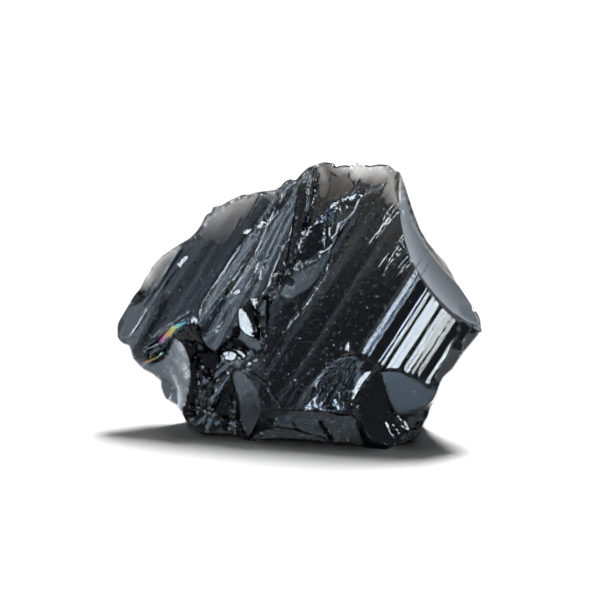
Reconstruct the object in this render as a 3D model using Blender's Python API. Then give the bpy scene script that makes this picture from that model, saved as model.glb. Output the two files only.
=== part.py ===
"""Obsidian chunk: one hand-sized piece of volcanic glass, knapped by nature.

The chunk starts as a plain block. Flat fracture planes cleave the block to a
leaning slab that is thick at the foot and thin along its top and left edges.
Shallow balls of empty space then scoop out the shell-shaped flake scars.
Lengths are in millimetres and are turned into metres when the mesh is made.
+X is to the right, +Y is to the back and +Z is up. The origin is the middle
of the bounding box, on the surface that the chunk rests on.
"""

import math

import bmesh
import bpy
from mathutils import Matrix, Vector

NAME = "obsidian_chunk"
MM = 0.001

# The overall size, which the outermost tips are snapped off to.
WIDTH = 85.6
DEPTH = 30.0
HEIGHT = 63.2

# Each fracture plane: a point on it, then the compass azimuth (0 faces the front,
# 90 faces the right) and the elevation of the way it faces, in degrees.
FRACTURE_PLANES = {
    "right_face": ((1.3, 7.7, 59.5), -15.0, 20.8),
    "left_face": ((1.3, 7.7, 59.5), -18.4, 21.0),
    "striped_face": ((21.9, -8.6, 32.3), -1.3, 13.3),
    "front_foot": ((0.8, -11.8, 8.1), -13.0, -12.5),
    "front_left_foot": ((-10.8, -9.9, 0.0), -18.0, 4.0),
    "side_right": ((33.2, -4.5, 45.4), 90.5, 27.9),
    "under_right": ((37.9, -15.3, 23.1), 59.6, -33.4),
    "under_right_low": ((30.4, -16.3, 9.4), 65.0, -17.7),
    "under_left": ((-32.8, 1.2, 12.8), -61.9, -29.1),
    "back_left_tip": ((-39.4, 9.4, 30.3), -167.0, -5.8),
    "back_left": ((-26.6, 11.8, 46.9), -176.8, 1.7),
    "back_top_left": ((-6.8, 9.9, 58.4), 173.6, 7.7),
    "back_top": ((13.9, 5.8, 63.4), 165.7, 12.2),
    "back_foot": ((4.8, 15.9, 8.7), 172.0, -16.0),
    "back_left_foot": ((-27.2, 12.6, 14.7), -155.0, -14.0),
    "back_right_foot": ((34.8, 5.6, 15.7), 122.0, -14.0),
}

# Each flake scar: the deepest point of its bowl, the way the bowl faces (azimuth and
# elevation), how far its long axis leans to the left of upright, then the half
# length and half width of its mouth and its depth.
FLAKE_SCARS = {
    "right_hollow": ((29.9, 3.1, 42.7), 60.0, 27.8, 0.0, 22.2, 22.2, 6.0),
    "bowl": ((23.4, -10.9, 11.0), 4.0, 4.0, 0.0, 8.9, 8.6, 3.8),
    "left_scallop": ((-31.5, -0.8, 13.3), -45.0, -8.0, 10.0, 11.5, 9.0, 4.0),
    "under_right_chip": ((33.6, -11.0, 16.6), 66.0, -24.0, 0.0, 9.0, 8.5, 2.8),
    "lens": ((-12.4, -8.9, 10.3), -25.0, 0.0, 12.0, 8.5, 4.4, 1.4),
    "ledge": ((5.6, 1.2, 43.7), -14.0, 10.0, -42.0, 15.0, 4.2, 1.2),
    "back_shell": ((6.0, 10.4, 33.7), 168.0, 6.0, 25.0, 22.0, 15.0, 2.4),
    "back_left_shell": ((-21.0, 10.8, 24.7), -172.0, -1.0, -30.0, 17.0, 11.0, 1.8),
    "back_foot_shell": ((21.0, 9.5, 9.7), 150.0, -4.0, 60.0, 13.0, 9.0, 1.9),
}

SCAR_SEGMENTS = 56
SCAR_RINGS = 28

BLACK_GLASS = (0.018, 0.018, 0.021, 1.0)
GLASS_ROUGHNESS = 0.08
GLASS_IOR = 1.49


def facing(azimuth, elevation):
    """The unit vector that a surface with this azimuth and elevation faces."""
    turn = math.radians(azimuth)
    lift = math.radians(elevation)
    return Vector(
        (
            math.sin(turn) * math.cos(lift),
            -math.cos(turn) * math.cos(lift),
            math.sin(lift),
        )
    )


def clear_scene():
    for old in list(bpy.data.objects):
        bpy.data.objects.remove(old, do_unlink=True)


def new_collection(name):
    collection = bpy.data.collections.new(name)
    bpy.context.scene.collection.children.link(collection)
    return collection


def add_object(name, mesh, collection):
    made = bpy.data.objects.new(name, mesh)
    collection.objects.link(made)
    return made


def glass_material():
    material = bpy.data.materials.new("black_volcanic_glass")
    material.use_nodes = True
    shader = material.node_tree.nodes["Principled BSDF"]
    shader.inputs["Base Color"].default_value = BLACK_GLASS
    shader.inputs["Roughness"].default_value = GLASS_ROUGHNESS
    shader.inputs["Metallic"].default_value = 0.0
    shader.inputs["IOR"].default_value = GLASS_IOR
    return material


def cleave(block, point, normal):
    """Splits the block along a plane and keeps the side behind the plane."""
    bmesh.ops.bisect_plane(
        block,
        geom=block.verts[:] + block.edges[:] + block.faces[:],
        dist=1e-7,
        plane_co=point,
        plane_no=normal,
        clear_outer=True,
    )
    rim = [edge for edge in block.edges if edge.is_boundary]
    if rim:
        bmesh.ops.holes_fill(block, edges=rim, sides=0)


def cleaved_block():
    """The box of the overall size, split along every fracture plane."""
    block = bmesh.new()
    size = Matrix.Diagonal((WIDTH * MM, DEPTH * MM, HEIGHT * MM, 1.0))
    lift = Matrix.Translation((0.0, 0.0, HEIGHT * MM / 2))
    bmesh.ops.create_cube(block, size=1.0, matrix=lift @ size)
    for point, azimuth, elevation in FRACTURE_PLANES.values():
        cleave(block, Vector(point) * MM, facing(azimuth, elevation))
    bmesh.ops.recalc_face_normals(block, faces=block.faces[:])
    mesh = bpy.data.meshes.new(NAME)
    block.to_mesh(mesh)
    block.free()
    return mesh


def scar_cutter(name, deepest, azimuth, elevation, roll, half_length, half_width, depth):
    """A stretched ball whose shallow cap is the bowl of one flake scar."""
    radius = (half_width**2 + depth**2) / (2 * depth)
    stretch = half_length / half_width
    outward = facing(azimuth, elevation)
    turn = outward.to_track_quat("Z", "Y") @ Matrix.Rotation(math.radians(roll), 3, "Z").to_quaternion()
    ball = bmesh.new()
    bmesh.ops.create_uvsphere(ball, u_segments=SCAR_SEGMENTS, v_segments=SCAR_RINGS, radius=radius * MM)
    bmesh.ops.scale(ball, vec=(1.0, stretch, 1.0), verts=ball.verts[:])
    mesh = bpy.data.meshes.new(f"scar_{name}")
    ball.to_mesh(mesh)
    ball.free()
    cutter = bpy.data.objects.new(f"scar_{name}", mesh)
    cutter.rotation_mode = "QUATERNION"
    cutter.rotation_quaternion = turn
    cutter.location = (Vector(deepest) + outward * radius) * MM
    cutter.hide_render = True
    cutter.display_type = "WIRE"
    return cutter


def scoop_scars(chunk, cutters):
    for name, shape in FLAKE_SCARS.items():
        cutter = scar_cutter(name, *shape)
        cutters.objects.link(cutter)
        scoop = chunk.modifiers.new(f"scoop_{name}", "BOOLEAN")
        scoop.operation = "DIFFERENCE"
        scoop.solver = "EXACT"
        scoop.object = cutter


def build():
    clear_scene()
    parts = new_collection(NAME)
    cutters = new_collection("cutters")
    cutters.hide_render = True
    chunk = add_object(NAME, cleaved_block(), parts)
    chunk.data.materials.append(glass_material())
    scoop_scars(chunk, cutters)


build()
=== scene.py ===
"""The looks of the obsidian chunk: black volcanic glass, built around its CAD solid.

The stone is one closed mesh. It is drawn in sight coordinates: u runs right and v
runs up in the plane through AIM that faces the camera, and w runs away from it, all
in millimetres. A front sheet and a back sheet, each a depth over (u, v), meet along
the stone's outline. in_space() takes sight coordinates to the frame of the CAD model.
Along the striae, s runs across them and t along them.
"""

import math

import bpy
import numpy as np
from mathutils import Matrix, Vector


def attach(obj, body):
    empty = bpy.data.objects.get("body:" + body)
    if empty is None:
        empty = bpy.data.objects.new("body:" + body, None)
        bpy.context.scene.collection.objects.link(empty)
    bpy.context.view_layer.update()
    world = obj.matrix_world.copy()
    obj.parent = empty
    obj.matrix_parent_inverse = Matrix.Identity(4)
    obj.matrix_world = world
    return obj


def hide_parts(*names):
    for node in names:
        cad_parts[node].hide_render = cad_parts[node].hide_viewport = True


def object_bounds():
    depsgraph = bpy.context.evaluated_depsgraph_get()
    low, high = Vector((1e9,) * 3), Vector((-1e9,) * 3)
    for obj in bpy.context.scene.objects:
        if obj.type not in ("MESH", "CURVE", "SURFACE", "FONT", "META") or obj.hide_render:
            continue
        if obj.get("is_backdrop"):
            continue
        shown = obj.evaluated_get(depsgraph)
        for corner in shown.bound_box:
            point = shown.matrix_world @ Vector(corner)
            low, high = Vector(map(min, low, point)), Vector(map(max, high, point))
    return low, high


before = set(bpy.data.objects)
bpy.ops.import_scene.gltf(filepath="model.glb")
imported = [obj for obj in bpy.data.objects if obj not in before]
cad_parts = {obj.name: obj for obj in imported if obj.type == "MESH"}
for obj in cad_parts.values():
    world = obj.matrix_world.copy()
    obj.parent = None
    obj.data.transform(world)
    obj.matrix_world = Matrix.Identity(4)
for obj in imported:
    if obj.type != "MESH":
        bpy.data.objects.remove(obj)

cad_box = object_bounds()

NAME = "obsidian_chunk_glass"
MM = 0.001

# ---- the sight frame ----
AIM = np.array([0.8, -2.36, 32.4])
ELEVATION = 12
DISTANCE = 386
LENS = 100
SENSOR = 36
PICTURE_MIDDLE = 300
PX = 0.2316  # mm at AIM to each pixel of the photograph

TILT = math.radians(ELEVATION)
RIGHT = np.array([1, 0, 0])
LIFT = np.array([0, math.sin(TILT), math.cos(TILT)])
AWAY = np.array([0, math.cos(TILT), -math.sin(TILT)])
EYE = AIM - DISTANCE * AWAY


def spot(x, y):
    """The (u, v) of a pixel of the photograph."""
    return (x - PICTURE_MIDDLE) * PX, (PICTURE_MIDDLE - y) * PX


def px(*xy):
    """An outline or a line in (u, v), from the pixels x,y, x,y... that it was read at."""
    return [spot(x, y) for x, y in zip(xy[::2], xy[1::2])]


def facing(azimuth, elevation):
    """The unit vector that a surface with this azimuth and elevation faces. Takes arrays too."""
    turn = np.radians(azimuth)
    lift = np.radians(elevation)
    return np.stack([np.sin(turn) * np.cos(lift), -np.cos(turn) * np.cos(lift), np.sin(lift)], -1)


def sight(u, v):
    """The way that the sight line through (u, v) runs, one unit deep."""
    return AWAY + (u / DISTANCE)[..., None] * RIGHT + (v / DISTANCE)[..., None] * LIFT


def in_space(u, v, w):
    """Sight coordinates to points of the CAD frame, in millimetres."""
    return EYE + (DISTANCE + w)[..., None] * sight(u, v)


def plane_depth(u, v, point, azimuth, elevation):
    """The depth w of a plane through a point of the CAD frame."""
    normal = facing(azimuth, elevation)
    return (normal @ (np.asarray(point) - EYE)) / (sight(u, v) @ normal) - DISTANCE


# ---- noise, outlines and lines ----
WORD = 0xFFFFFFFF


def smooth(low, high, x):
    t = np.clip((x - low) / (high - low), 0, 1)
    return t * t * (3 - 2 * t)


def hashed(ix, iy, seed):
    """A repeatable number from 0 to 1 for each whole-number pair."""
    mixed = (ix.astype(np.int64) * 374761393 + iy.astype(np.int64) * 668265263 + seed * 144665) & WORD
    mixed = ((mixed ^ (mixed >> 13)) * 1274126177) & WORD
    mixed = (mixed ^ (mixed >> 16)) & WORD
    mixed = (mixed * 2246822519) & WORD
    return ((mixed ^ (mixed >> 15)) & WORD) / WORD


def noise(x, y, seed):
    """Smooth noise from -1 to 1, with one bump to each unit."""
    ix, iy = np.floor(x), np.floor(y)
    fx, fy = x - ix, y - iy
    fx = fx * fx * fx * (fx * (fx * 6 - 15) + 10)
    fy = fy * fy * fy * (fy * (fy * 6 - 15) + 10)
    low = hashed(ix, iy, seed) * (1 - fx) + hashed(ix + 1, iy, seed) * fx
    high = hashed(ix, iy + 1, seed) * (1 - fx) + hashed(ix + 1, iy + 1, seed) * fx
    return 2 * (low * (1 - fy) + high * fy) - 1


def chips(x, y, seed, tilt=0.25, hollow=0.5, spread=0.3):
    """Depth of crowded hollow chips with sharp ridges between them, one to each unit cell."""
    ix, iy = np.floor(x), np.floor(y)
    best = np.full(np.shape(x), -9.0)
    for over in (-1, 0, 1):
        for up in (-1, 0, 1):
            cx, cy = ix + over, iy + up
            dx = x - cx - hashed(cx, cy, seed)
            dy = y - cy - hashed(cx, cy, seed + 1)
            lean_x = tilt * (2 * hashed(cx, cy, seed + 2) - 1)
            lean_y = tilt * (2 * hashed(cx, cy, seed + 3) - 1)
            level = spread * hashed(cx, cy, seed + 4)
            best = np.maximum(best, level + lean_x * dx + lean_y * dy - hollow * (dx * dx + dy * dy))
    return best


def waves(s, t, rows):
    """Smooth ridges along t, from rows of height, spacing, length and seed."""
    return sum(height * noise(s / wide, t / long, seed) for height, wide, long, seed in rows)


def flutes(s, t, rows):
    """Hollow flutes along t, from rows of depth, spacing, length and what chips() takes."""
    return sum(depth * chips(s / wide, t / long, *shape) for depth, wide, long, *shape in rows)


def nearest(u, v, a, b):
    """How far along the line from a to b each point is, 0 to 1, and its squared distance."""
    ex, ey = b[0] - a[0], b[1] - a[1]
    t = np.clip(((u - a[0]) * ex + (v - a[1]) * ey) / (ex * ex + ey * ey), 0, 1)
    return t, (u - a[0] - t * ex) ** 2 + (v - a[1] - t * ey) ** 2


def outline_distance(u, v, outline):
    """Signed distance to a closed outline, negative inside."""
    best = np.full(u.shape, 1e9)
    inside = np.zeros(u.shape, bool)
    for a, b in zip(outline, outline[1:] + outline[:1]):
        best = np.minimum(best, nearest(u, v, a, b)[1])
        if a[1] != b[1]:
            crossed = u < (b[0] - a[0]) * (v - a[1]) / (b[1] - a[1]) + a[0]
            inside ^= ((a[1] > v) != (b[1] > v)) & crossed
    distance = np.sqrt(best)
    return np.where(inside, -distance, distance)


def line_distance(u, v, line):
    """Distance to an open line, the share of the way along it, and the side: 1 on its left."""
    best = np.full(u.shape, 1e9)
    along = np.zeros(u.shape)
    side = np.ones(u.shape)
    lengths = [math.dist(a, b) for a, b in zip(line, line[1:])]
    run = 0
    for a, b, length in zip(line, line[1:], lengths):
        t, gap = nearest(u, v, a, b)
        near = gap < best
        best = np.where(near, gap, best)
        along = np.where(near, (run + t * length) / sum(lengths), along)
        left = (b[0] - a[0]) * (v - a[1]) - (b[1] - a[1]) * (u - a[0]) > 0
        side = np.where(near, np.where(left, 1, -1), side)
        run += length
    return np.sqrt(best), along, side


def near_box(u, v, points, margin):
    """Which points lie in the box of an outline or a line, with a margin around it."""
    us, vs = zip(*points)
    return (u > min(us) - margin) & (u < max(us) + margin) & (v > min(vs) - margin) & (v < max(vs) + margin)


def mask_of(u, v, outline, border):
    """1 inside an outline, falling to 0 over a soft border."""
    share = np.zeros(u.shape)
    near = near_box(u, v, outline, border)
    share[near] = smooth(border, -border, outline_distance(u[near], v[near], outline))
    return share


def changed(depth, u, v, points, margin, change):
    """The depth with change(u, v, depth) done to it in the box of an outline or a line."""
    near = near_box(u, v, points, margin)
    out = depth.copy()
    if near.any():
        out[near] = change(u[near], v[near], depth[near])
    return out


def across(u, v, origin, slant):
    """(s, t): t runs up and to the right at the slant, in degrees, and s to the right of it."""
    c, s = math.cos(math.radians(slant)), math.sin(math.radians(slant))
    du, dv = u - origin[0], v - origin[1]
    return du * s - dv * c, du * c + dv * s


def around(u, v, centre):
    """The reach from a centre and the turn around it, in radians, from right to down."""
    du, dv = u - centre[0], centre[1] - v
    return np.hypot(du, dv), np.arctan2(dv, du)


# ---- the stone's outline and its striped band ----
OUTLINE = px(
    116,330, 119,321, 125,311, 130,302, 136,293, 140,289, 144,280, 150,270, 155,262, 161,256, 170,250,
    180,244, 190,238, 196,232, 200,226, 203,220, 206,215, 211,212, 213,207, 222,205, 230,200, 237,197,
    241,195, 250,194, 257,192, 265,191, 275,190, 281,186, 285,181, 290,179, 296,180, 301,174, 306,169,
    311,166, 317,164, 324,162, 332,163, 339,166, 345,165, 351,166, 356,162, 362,164, 370,166, 379,164,
    388,165, 394,169, 401,173, 404,182, 409,198, 414,213, 420,229, 427,241, 436,252, 445,262, 450,270,
    455,280, 463,292, 471,304, 478,314, 482,324, 484,331, 478,335, 472,343, 465,352, 459,361, 453,370,
    447,375, 442,381, 439,391, 437,398, 433,405, 430,412, 427,422, 422,431, 417,440, 412,446, 406,450,
    399,451, 385,450, 370,448, 358,446, 350,444, 330,443, 318,442, 304,440, 290,440, 276,439, 262,440,
    250,441, 243,438, 236,436, 226,434, 213,435, 200,433, 192,427, 187,424, 183,417, 180,411, 175,405,
    168,401, 164,397, 161,389, 160,381, 153,375, 144,370, 137,363, 132,357, 130,350, 129,346, 122,343,
    118,338,
)

STRIPE_ORIGIN = spot(415, 325)
STRIPE_SLANT = 57
BAND_SLOPE = 0.272  # how much deeper the mirror of the front box gets in each mm across the band
# Where each stripe starts, in mm across the band, and its lean from that mirror in degrees.
STRIPES = [
    (-7.2, -6), (-6.3, -5.5), (-5.75, -14), (-5.62, -5.5), (-5.3, -12), (-5.2, -4), (-4.95, -8.5),
    (-4.85, -13.5), (-2.40, 3.5), (-2.22, -13), (-1.6, 2.6), (-0.95, 6.8), (-0.15, -0.5), (0.35, -8.5),
    (0.5, -1), (0.75, -12), (0.95, -1), (1.35, -9), (1.45, -1), (1.7, -12), (1.8, -1), (2, 2), (2.2, 8),
    (2.5, 3), (2.65, 8), (3.05, 2.6), (3.25, 7), (3.4, 2.4), (3.6, -9.3), (4.3, 2.3), (5, 7), (5.1, 2.3),
    (6.1, 7), (6.28, 2.2), (6.8, 6), (6.9, 2.2), (7.4, 8), (8.2, 4.4), (8.32, 8.5), (9.1, -1), (9.9, 9),
    (18, 9),
]
BAND_LEFT = -7.2
BAND_RIGHT = 10
# The band leaves this outline out.
SHOULDER = px(300,300, 352,351, 364,354, 385,369, 374,371, 362,388, 359,412, 362,440, 366,460, 280,460)

# ---- the planes and scars of the CAD solid, as in part.py, in millimetres ----
FRONT_PLANES = {
    "right_face": ((1.3, 7.7, 59.5), -15, 20.8),
    "left_face": ((1.3, 7.7, 59.5), -17, 21),
    "front_foot": ((0.8, -11.8, 8.1), -13, -12.5),
    "front_left_foot": ((-10.8, -9.9, 0), -18, 4),
    "side_right": ((33.2, -4.5, 45.4), 90.5, 27.9),
    "under_right": ((37.9, -15.3, 23.1), 59.6, -33.4),
    "under_right_low": ((30.4, -16.3, 9.4), 65, -17.7),
    "front_stop": ((0, -15, 0), 0, 0),
}
BACK_PLANES = {
    "back_left_tip": ((-39.4, 9.4, 30.3), -167, -5.8),
    "back_left": ((-26.6, 11.8, 46.9), -176.8, 1.7),
    "back_top_left": ((-6.8, 9.9, 58.4), 173.6, 7.7),
    "back_top": ((13.9, 5.8, 63.4), 165.7, 12.2),
    "back_foot": ((4.8, 15.9, 8.7), 172, -16),
    "back_left_foot": ((-27.2, 12.6, 14.7), -155, -14),
    "back_right_foot": ((34.8, 5.6, 15.7), 122, -14),
    "back_stop": ((0, 15, 0), 180, 0),
    "base": ((0, 0, 0), 0, -90),
}
# deepest point, azimuth, elevation, lean, half length, half width, depth
FRONT_SCARS = {
    "right_hollow": ((29.9, 3.1, 42.7), 60, 27.8, 0, 22.2, 22.2, 6),
    "left_scallop": ((-31.5, -0.8, 13.3), -46, 6, 10, 12.5, 9, 3.6),
    "under_right_chip": ((33.6, -11, 16.6), 66, -24, 0, 9, 8.5, 2.8),
}
BACK_SCARS = {
    "back_shell": ((6, 10.4, 33.7), 168, 6, 25, 22, 15, 2.4),
    "back_left_shell": ((-21, 10.8, 24.7), -172, -1, -30, 17, 11, 1.8),
    "back_foot_shell": ((21, 9.5, 9.7), 150, -4, 60, 13, 9, 1.9),
}


def ball_depths(u, v, scar):
    """The depths where each sight line enters and leaves a scar's ball, nan where it misses."""
    deepest, azimuth, elevation, lean, half_length, half_width, depth = scar
    radius = (half_width**2 + depth**2) / (2 * depth)
    out = facing(azimuth, elevation)
    length = np.array([0, 0, 1]) - out * out[2]
    length = length / np.linalg.norm(length)
    side = np.cross(length, out)
    c, s = math.cos(math.radians(lean)), math.sin(math.radians(lean))
    radii = np.array([radius, radius * half_length / half_width, radius])
    axes = np.array([side * c + length * s, length * c - side * s, out]) / radii[:, None]
    way = sight(u, v) @ axes.T
    start = axes @ (EYE - np.asarray(deepest) - out * radius)
    a = (way * way).sum(-1)
    b = way @ start
    with np.errstate(invalid="ignore"):
        root = np.sqrt(b * b - a * (start @ start - 1))
    return (-b - root) / a - DISTANCE, (-b + root) / a - DISTANCE


def scoop_front(depth, u, v, scar):
    """Takes a scar's ball out of the front sheet."""
    near, far = ball_depths(u, v, scar)
    return np.where((near < depth) & (far > depth), far, depth)


def scoop_back(depth, u, v, scar, ripple, wave):
    """Takes a scar's ball out of the back sheet, with ripples that run out from below it."""
    near, far = ball_depths(u, v, scar)
    s = np.hypot(u - scar[0][0] - 12, v - scar[0][2] + 60)
    rippled = near - ripple * np.sin(s * 2 * math.pi / wave) * smooth(0, 1.5, depth - near)
    return np.where((near < depth) & (far > depth), rippled, depth)


def stripe_profile(s):
    """Depth of the striped band under the right face, from each stripe's lean."""
    edges = [edge for edge, _ in STRIPES]
    heights = [0]
    for (edge, lean), (following, _) in zip(STRIPES, STRIPES[1:]):
        heights.append(heights[-1] + (BAND_SLOPE + math.tan(math.radians(lean))) * (following - edge))
    return np.interp(s, edges, heights)


def plane_sheets(u, v):
    """Depths where each sight line enters and leaves the block between all the fracture planes."""
    front = np.full(u.shape, -99.0)
    back = np.full(u.shape, 99.0)
    way = sight(u, v)
    for point, azimuth, elevation in (FRONT_PLANES | BACK_PLANES).values():
        outward = way @ facing(azimuth, elevation)
        depth = plane_depth(u, v, point, azimuth, elevation)
        front = np.where(outward < 0, np.maximum(front, depth), front)
        back = np.where(outward > 0, np.minimum(back, depth), back)
    return np.clip(front, -25, 25), np.clip(back, -25, 35)


def base_depth(u, v):
    """The flat fracture faces, the striped band where the right face ends, and the great hollows."""
    depth, _ = plane_sheets(u, v)
    s, t = across(u, v, STRIPE_ORIGIN, STRIPE_SLANT)
    s = s + 0.03 * noise(s * 0.5, t * 0.05, 11)
    banded = 1 - mask_of(u, v, SHOULDER, 0.5)
    depth = np.maximum(depth, plane_depth(u, v, *FRONT_PLANES["right_face"]) + stripe_profile(s) * banded)
    for scar in FRONT_SCARS.values():
        depth = scoop_front(depth, u, v, scar)
    return depth


def point_at(place, sink=0):
    """The point of the CAD frame at a place of the base face, sink millimetres under it."""
    u, v = np.array(place)[:, None]
    return in_space(u, v, base_depth(u, v) + sink)[0]


# ---- the tools that shape the front sheet ----
def aimed(azimuth, elevation, place):
    """The facing that mirrors, at a place, what this facing mirrors in the middle of the picture."""
    turn = math.degrees(place[0] / DISTANCE) / 2
    lift = math.degrees(place[1] / DISTANCE) / 2
    return azimuth - turn, elevation - lift


FLAT = (0, 0)


def facet(
    depth, u, v, outline, azimuth, elevation, sink=0, bend=FLAT, rings=None, anchor=None, border=0.1
):
    """Lays a facet inside an outline, sink millimetres under the base face at its anchor.

    bend is a direction and the degrees that the facet turns in each millimetre along it, above zero
    where it is hollow. rings are ripples: a centre, a wavelength and a height.
    """
    def change(u, v, old):
        share = mask_of(u, v, outline, border)
        place = anchor or [sum(values) / len(outline) for values in zip(*outline)]
        surface = plane_depth(u, v, point_at(place, sink), *aimed(azimuth, elevation, place))
        turn = math.radians(bend[0])
        s = (u - place[0]) * math.cos(turn) + (v - place[1]) * math.sin(turn)
        surface = surface - math.radians(bend[1]) * s * s / 2
        if rings:
            centre, wave, height = rings
            reach = np.hypot(u - centre[0], v - centre[1])
            phase = reach / wave + 0.35 * noise(reach / 3, u / 6, 7)
            surface = surface + height * np.sin(2 * math.pi * phase)
        return old + (surface - old) * share

    return changed(depth, u, v, outline, border, change)


def crease(depth, u, v, line, width, height):
    """Raises a ridge along a line, or sinks a groove where the height is below zero."""
    def change(u, v, old):
        gap, along, _ = line_distance(u, v, line)
        ends = smooth(0, 0.1, along) * smooth(1, 0.9, along)
        return old - height * np.clip(1 - gap / width, 0, 1) * ends

    return changed(depth, u, v, line, width, change)


def blade(depth, u, v, line, width, lean):
    """Turns a narrow strip along a line down and to the right, lean degrees off the front box's mirror."""
    def change(u, v, old):
        gap, along, side = line_distance(u, v, line)
        half = width * np.clip(4 * along * (1 - along), 0, 1) ** 0.5
        return old - np.where(gap < half, (BAND_SLOPE + math.tan(math.radians(lean))) * gap * side, 0)

    return changed(depth, u, v, line, width, change)


def chip_row(depth, u, v, line, width, size, azimuth, elevation, spread, seed, sink):
    """A row of small flat chips along a line, each facing about the same way."""
    def change(u, v, old):
        gap, along, _ = line_distance(u, v, line)
        steps = [math.dist(a, b) for a, b in zip(line, line[1:])]
        places = np.concatenate([[0], np.cumsum(steps)])
        cell = np.floor(along * places[-1] / size + 0.6 * noise(gap / width, along * 9, seed + 5))
        middle = np.clip((cell + 0.5) * size, 0, places[-1])
        middle_u = np.interp(middle, places, [p[0] for p in line])
        middle_v = np.interp(middle, places, [p[1] for p in line])
        strays = [spread * (2 * hashed(cell, 0 * cell, seed + k) - 1) for k in (0, 1)]
        turn, lift = aimed(azimuth, elevation, line[len(line) // 2])
        normal = facing(turn + strays[0], lift + 0.6 * strays[1])
        rise = (normal @ RIGHT) * (u - middle_u) + (normal @ LIFT) * (v - middle_v)
        rise = rise / (normal * sight(u, v)).sum(-1)
        half = width * (0.65 + 0.35 * hashed(cell, 0 * cell, seed + 2))
        return np.where(gap < half, base_depth(middle_u, middle_v) + sink - rise, old)

    return changed(depth, u, v, line, width, change)


FIELD_TILT = 1.1
FIELD_HOLLOW = 0.25
FIELD_MEAN = 0.3


def chip_field(depth, u, v, outline, border, size, height, seed, slant=0, stretch=1):
    """Crowded chips inside an outline: their size and height in mm, and how they slant and stretch."""
    def change(u, v, old):
        share = mask_of(u, v, outline, border)
        s, t = across(u, v, (0, 0), slant)
        chipped = chips(s / size, t / size / stretch, seed, FIELD_TILT, FIELD_HOLLOW)
        return old + height * share * (chipped - FIELD_MEAN)

    return changed(depth, u, v, outline, border, change)


SPECK_SLOPE = 0.05  # how much further than the box's mirror a speck of dust turns


def in_cells(u, v, size, seed):
    """Where each point lies from a spot in its own cell, how large the spot is, and its number."""
    ix, iy = np.floor(u / size), np.floor(v / size)
    du = u / size - (ix + 0.2 + 0.6 * hashed(ix, iy, seed))
    dv = v / size - (iy + 0.2 + 0.6 * hashed(ix, iy, seed + 1))
    return du, dv, hashed(ix, iy, seed + 2), hashed(ix, iy, seed + 3)


def specks(u, v, size, share, height, seed):
    """Sparse little crumbs standing on the surface."""
    du, dv, large, number = in_cells(u, v, size, seed)
    return height * np.clip(1 - np.hypot(du, dv) / (0.12 + 0.16 * large), 0, 1) * (number < share)


def dust(u, v, size, share, reach, seed):
    """Sparse specks turned down and to the right, so that they catch the front light."""
    du, dv, large, number = in_cells(u, v, size, seed)
    there = (number < share) & (np.hypot(du, dv) * size < reach * (0.5 + 0.5 * large))
    s, _ = across(du * size, dv * size, (0, 0), STRIPE_SLANT)
    return np.where(there, (BAND_SLOPE + SPECK_SLOPE) * s, 0)


# ---- what is on the front sheet ----
FAN_APEX = spot(335, 120)
FAN_FIELD = px(
    300,172, 318,166, 316,180, 309,225, 298,246, 286,268, 268,296, 252,302, 243,312, 233,335, 215,352,
    203,345, 197,325, 203,304, 222,275, 246,238, 262,215, 272,200, 286,181,
)
FAN_FACE = (-21.5, 22)
FAN_MIDDLE = spot(268, 245)
FAN_STEP = 0.1
# Edges across the ridged band, in degrees around FAN_APEX, and how much the face there leans from
# FAN_FACE: below zero turns it towards the left strip light.
FAN_LEANS = [
    (96, 0.1), (101, -0.1), (103.4, 0.22), (104.3, -0.22), (113.6, 0.02), (114.6, 0.1), (115.2, -0.02),
    (117, 0.06), (118, -0.02), (119.5, 0.04), (121, -0.28), (123.4, 0.18), (124.6, 0.02), (125.6, -0.02),
    (127, -0.1), (128.6, 0), (134, 0),
]

# The facing that mirrors each light towards the camera.
TO_BOX = (-0.5, 13.5)
TO_WARM = (5, 13.5)
TO_BLUE = (-5.5, 13.5)
TO_SCREEN = (-34, 20)
TO_LOW = (-13, 8)
DARK = (24, 14)
DIM = (-12, 12)

SCALLOP_CENTRE = spot(140, 398)
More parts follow.
